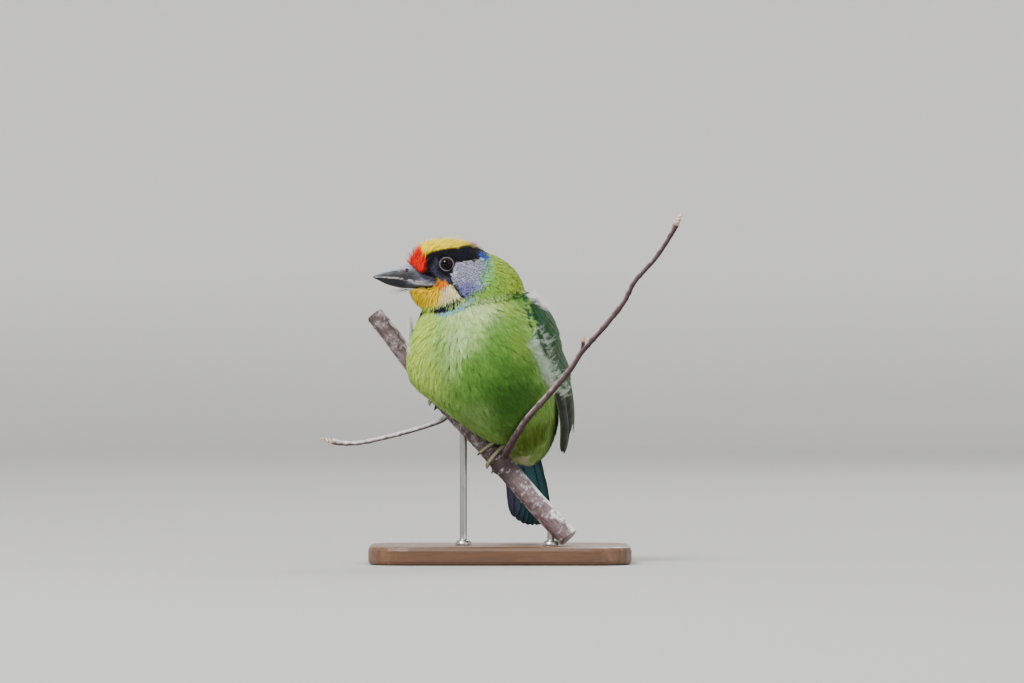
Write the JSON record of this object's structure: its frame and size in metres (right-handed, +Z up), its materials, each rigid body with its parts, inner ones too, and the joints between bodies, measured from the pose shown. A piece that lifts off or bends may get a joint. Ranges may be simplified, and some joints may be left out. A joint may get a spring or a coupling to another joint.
{
  "type": "golden-throated barbet on a perch",
  "caption": "Life-size still model of a small stout-billed green forest bird gripping a sloping cut branch, with its head turned to the side, on a plain display stand.",
  "frame": {"origin": "centre of the underside of the stand's base", "axes": "+Z up; +X along the base's long side, towards the low end of the branch; -Y towards the viewer, with the breast turned between -Y and -X and the bill along -X"},
  "size_m": [0.1974, 0.1031, 0.1917],
  "materials": {
    "green_plumage": "soft plumage, pale yellowish green",
    "head_plumage": "soft plumage, patterned red, yellow, black and grey",
    "wing_feathers": "smooth dark green feathers",
    "tail_feathers": "smooth dull blue-grey feathers",
    "bill_horn": "dark horn with a soft sheen",
    "eye": "wet gloss, dark reddish brown",
    "foot_skin": "scaly, greyish olive",
    "claw_horn": "blackish horn",
    "bark": "purplish brown bark with pale patches",
    "stand_wood": "satin stained wood",
    "stand_metal": "satin"
  },
  "bodies": {
    "root": {"head": "head_plumage", "neck": "green_plumage", "torso": "green_plumage", "bill_upper": "bill_horn", "bill_lower": "bill_horn", "eye_left": "eye", "eye_right": "eye", "wing_left": "wing_feathers", "wing_right": "wing_feathers", "tail": "tail_feathers", "leg_left": "foot_skin", "leg_right": "foot_skin", "claw_left_1": "claw_horn", "claw_left_2": "claw_horn", "claw_left_3": "claw_horn", "claw_left_4": "claw_horn", "claw_right_1": "claw_horn", "claw_right_2": "claw_horn", "claw_right_3": "claw_horn", "claw_right_4": "claw_horn", "perch_branch": "bark", "perch_twig_right": "bark", "perch_twig_left": "bark", "stand_base": "stand_wood", "stand_rod_low": "stand_metal", "stand_rod_high": "stand_metal"}
  },
  "joints": []
}
